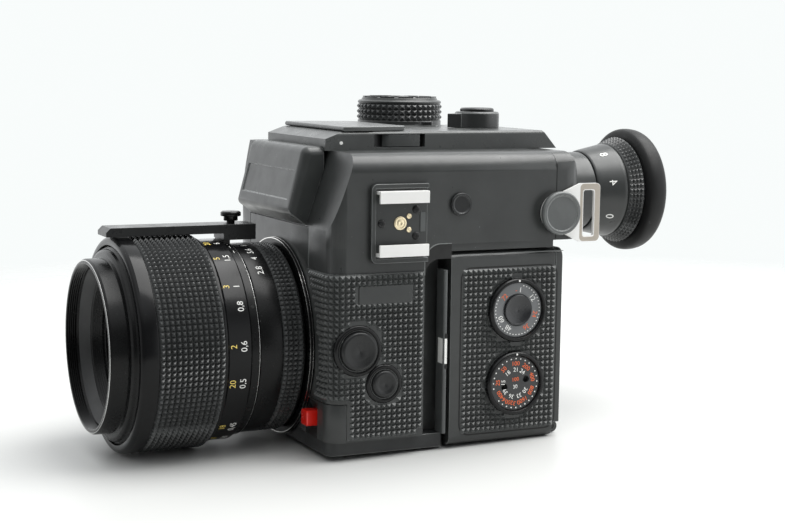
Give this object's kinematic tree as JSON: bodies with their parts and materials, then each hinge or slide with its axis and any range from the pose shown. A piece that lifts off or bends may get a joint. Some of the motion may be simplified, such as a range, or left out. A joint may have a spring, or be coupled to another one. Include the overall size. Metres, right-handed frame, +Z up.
{
  "type": "single-lens reflex camera",
  "caption": "Box-shaped 35 mm reflex camera with a detachable film magazine, fold-up finder hood, rear eyepiece and a large close-focus lens.",
  "frame": {"origin": "centre of the tripod socket's mouth, in the underside of the base", "axes": "+Z up, the lens axis points towards -Y at x = 0, +X is the viewer's left"},
  "size_m": [0.1093, 0.2027, 0.1121],
  "materials": {
    "housing": "fine matte black paint over a moulded housing",
    "cover": "satin black moulded cover",
    "grip": "embossed pyramid texture",
    "plinth": "matte black moulding",
    "steel": "polished steel",
    "brass": "bare brass",
    "mount": "satin chrome",
    "lens_black": "satin black anodised",
    "lens_gloss": "gloss black lacquer",
    "rubber": "soft black rubber",
    "glass": "coated optical glass",
    "mirror": "front-silvered",
    "shutter": "dark blades",
    "inside_black": "flat black",
    "motor": "plain steel can",
    "gear": "white nylon",
    "red": "red moulded button",
    "dial_grey": "grey anodised dial",
    "dial_dark": "dark grey dial"
  },
  "bodies": {
    "camera": {"main_housing": "housing", "finder_housing": "housing", "front_plate": "cover", "base_plinth": "plinth", "tripod_bush": "steel", "finder_front_cover": "cover", "top_plate": "cover", "rear_finder_cover": "housing", "eyepiece_tube": "cover", "left_grip_cover": "grip", "right_grip_cover": "grip", "shoe_base": "cover", "shoe_rails": "steel", "shoe_contacts": "brass", "strap_studs": "cover", "lens_mount_ring": "mount", "mirror_box": "inside_black", "focusing_screen": "glass", "finder_prism": "glass", "shutter_frame": "inside_black", "battery_holder": "inside_black", "wind_motor": "motor", "eyepiece_lens": "glass"},
    "mirror": {"reflex_mirror": "mirror"},
    "first_curtain_body": {"first_curtain": "shutter"},
    "second_curtain_body": {"second_curtain": "shutter"},
    "pinion": {"motor_pinion": "brass"},
    "gear": {"drive_gear": "gear"},
    "left_bracket": {"left_strap_bracket": "steel"},
    "right_bracket": {"right_strap_bracket": "steel"},
    "speed_dial": {"shutter_speed_dial": "cover"},
    "lock": {"dial_lock_button": "cover"},
    "collar": {"release_collar": "cover"},
    "top_release": {"top_release_button": "cover"},
    "front_release": {"front_release_button": "cover"},
    "preview": {"preview_button": "cover"},
    "lens_release": {"lens_release_button": "red"},
    "sync_cap": {"sync_socket_cap": "cover"},
    "lid": {"finder_lid": "cover"},
    "latch": {"lid_latch": "cover"},
    "left_leaf": {"left_hood_leaf": "inside_black"},
    "right_leaf": {"right_hood_leaf": "inside_black"},
    "rear_leaf": {"rear_hood_leaf": "inside_black"},
    "dioptre": {"dioptre_ring": "cover", "rubber_eyecup": "rubber"},
    "lens": {"lens_barrel": "lens_black", "lens_bar": "lens_gloss"},
    "aperture": {"aperture_ring": "lens_black"},
    "focus": {"focus_ring": "lens_gloss"},
    "optics": {"inner_barrel": "lens_black", "lens_elements": "glass"},
    "iris": {"iris_blades": "shutter"},
    "bar_knob": {"lens_bar_knob": "lens_black"},
    "magazine": {"magazine_shell": "housing", "door_hinge_pin": "steel"},
    "door": {"magazine_door": "housing"},
    "counter": {"frame_counter_dial": "dial_grey"},
    "film_speed": {"film_speed_dial": "dial_dark"},
    "slide": {"dark_slide": "cover"},
    "spool": {"take_up_spool": "inside_black"}
  },
  "joints": [
    {"name": "mirror_flip", "type": "hinge", "parent": "camera", "child": "mirror", "pos_m": [0, 0.0095, 0.0465], "axis": [-1, 0, 0], "range_deg": [0, 45]},
    {"name": "first_curtain_travel", "type": "slide", "parent": "camera", "child": "first_curtain_body", "axis": [0, 0, 1], "range_m": [0, 0.0266]},
    {"name": "second_curtain_travel", "type": "slide", "parent": "camera", "child": "second_curtain_body", "axis": [0, 0, -1], "range_m": [0, 0.0266]},
    {"name": "drive_gear_turn", "type": "hinge", "parent": "camera", "child": "gear", "pos_m": [0.029, 0.0053, 0.0585], "axis": [0, 0, 1], "continuous": true},
    {"name": "motor_pinion_turn", "type": "hinge", "parent": "camera", "child": "pinion", "pos_m": [0.029, -0.005, 0.0585], "axis": [0, 0, 1], "continuous": true},
    {"name": "take_up_turn", "type": "hinge", "parent": "magazine", "child": "spool", "pos_m": [0.027, 0.0395, 0.03], "axis": [0, 0, 1], "continuous": true},
    {"name": "left_bracket_swing", "type": "hinge", "parent": "camera", "child": "left_bracket", "pos_m": [0.046, 0.0587, 0.0739], "axis": [1, 0, 0], "range_deg": [-90, 90]},
    {"name": "right_bracket_swing", "type": "hinge", "parent": "camera", "child": "right_bracket", "pos_m": [-0.0575, 0.0587, 0.0739], "axis": [1, 0, 0], "range_deg": [-90, 90]},
    {"name": "shutter_dial_turn", "type": "hinge", "parent": "camera", "child": "speed_dial", "pos_m": [-0.041, 0.043, 0.104], "axis": [0, 0, 1], "range_deg": [-150, 150]},
    {"name": "dial_lock_press", "type": "slide", "parent": "camera", "child": "lock", "axis": [0, 0, -1], "range_m": [0, 0.0012], "stiffness_N_per_m": 400},
    {"name": "release_collar_turn", "type": "hinge", "parent": "camera", "child": "collar", "pos_m": [0, 0.053, 0.102], "axis": [0, 0, 1], "range_deg": [-30, 60]},
    {"name": "top_release_press", "type": "slide", "parent": "camera", "child": "top_release", "axis": [0, 0, -1], "range_m": [0, 0.001], "stiffness_N_per_m": 400},
    {"name": "front_release_press", "type": "slide", "parent": "camera", "child": "front_release", "axis": [-1, 0, 0], "range_m": [0, 0.001], "stiffness_N_per_m": 400},
    {"name": "preview_press", "type": "slide", "parent": "camera", "child": "preview", "axis": [-1, 0, 0], "range_m": [0, 0.001], "stiffness_N_per_m": 400},
    {"name": "lens_release_press", "type": "slide", "parent": "camera", "child": "lens_release", "axis": [0, 1, 0], "range_m": [0, 0.0012], "stiffness_N_per_m": 400},
    {"name": "sync_cap_pull", "type": "slide", "parent": "camera", "child": "sync_cap", "axis": [1, 0, 0], "range_m": [0, 0.015]},
    {"name": "lid_open", "type": "hinge", "parent": "camera", "child": "lid", "pos_m": [0, -0.00725, 0.10025], "axis": [1, 0, 0], "range_deg": [0, 90]},
    {"name": "left_leaf_fold", "type": "hinge", "parent": "camera", "child": "left_leaf", "pos_m": [0.0182, 0.004, 0.0982], "axis": [0, 1, 0], "range_deg": [0, 90]},
    {"name": "right_leaf_fold", "type": "hinge", "parent": "camera", "child": "right_leaf", "pos_m": [-0.0182, 0.004, 0.0982], "axis": [0, -1, 0], "range_deg": [0, 90]},
    {"name": "rear_leaf_fold", "type": "hinge", "parent": "camera", "child": "rear_leaf", "pos_m": [0, 0.0138, 0.0969], "axis": [-1, 0, 0], "range_deg": [0, 90]},
    {"name": "lid_latch_slide", "type": "slide", "parent": "camera", "child": "latch", "axis": [0, -1, 0], "range_m": [0, 0.003]},
    {"name": "dioptre_turn", "type": "hinge", "parent": "camera", "child": "dioptre", "pos_m": [0, 0.099, 0.0768], "axis": [0, 1, 0], "range_deg": [-60, 60]},
    {"name": "lens_remove", "type": "slide", "parent": "camera", "child": "lens", "axis": [0, -1, 0], "range_m": [0, 0.03]},
    {"name": "aperture_turn", "type": "hinge", "parent": "lens", "child": "aperture", "pos_m": [0, -0.03, 0.0317], "axis": [0, -1, 0], "range_deg": [-20, 40]},
    {"name": "focus_turn", "type": "hinge", "parent": "lens", "child": "focus", "pos_m": [0, -0.061, 0.0317], "axis": [0, -1, 0], "range_deg": [-200, 100]},
    {"name": "optics_extend", "type": "slide", "parent": "lens", "child": "optics", "axis": [0, -1, 0], "range_m": [-0.008, 0.004]},
    {"name": "iris_turn", "type": "hinge", "parent": "optics", "child": "iris", "pos_m": [0, -0.0525, 0.0317], "axis": [0, -1, 0], "range_deg": [-20, 40]},
    {"name": "bar_knob_press", "type": "slide", "parent": "lens", "child": "bar_knob", "axis": [0, 0, -1], "range_m": [0, 0.0007], "stiffness_N_per_m": 400},
    {"name": "magazine_remove", "type": "slide", "parent": "camera", "child": "magazine", "axis": [0, 1, 0], "range_m": [0, 0.03]},
    {"name": "door_open", "type": "hinge", "parent": "magazine", "child": "door", "pos_m": [-0.005, 0.0612, 0.0025], "axis": [-1, 0, 0], "range_deg": [0, 90]},
    {"name": "counter_turn", "type": "hinge", "parent": "magazine", "child": "counter", "pos_m": [0.043, 0.0444, 0.043], "axis": [1, 0, 0], "range_deg": [0, 300]},
    {"name": "film_speed_turn", "type": "hinge", "parent": "magazine", "child": "film_speed", "pos_m": [0.043, 0.044, 0.0192], "axis": [1, 0, 0], "range_deg": [-150, 150]},
    {"name": "dark_slide_pull", "type": "slide", "parent": "magazine", "child": "slide", "axis": [1, 0, 0], "range_m": [0, 0.066]}
  ],
  "couplings": [
    {"joint": "motor_pinion_turn", "follows": "drive_gear_turn", "ratio": -2.4},
    {"joint": "take_up_turn", "follows": "drive_gear_turn", "ratio": 0.25},
    {"joint": "left_leaf_fold", "follows": "lid_open", "ratio": 1},
    {"joint": "right_leaf_fold", "follows": "lid_open", "ratio": 1},
    {"joint": "rear_leaf_fold", "follows": "lid_open", "ratio": 1},
    {"joint": "optics_extend", "follows": "focus_turn", "m_per_rad": 0.0022918},
    {"joint": "iris_turn", "follows": "aperture_turn", "ratio": 1}
  ]
}
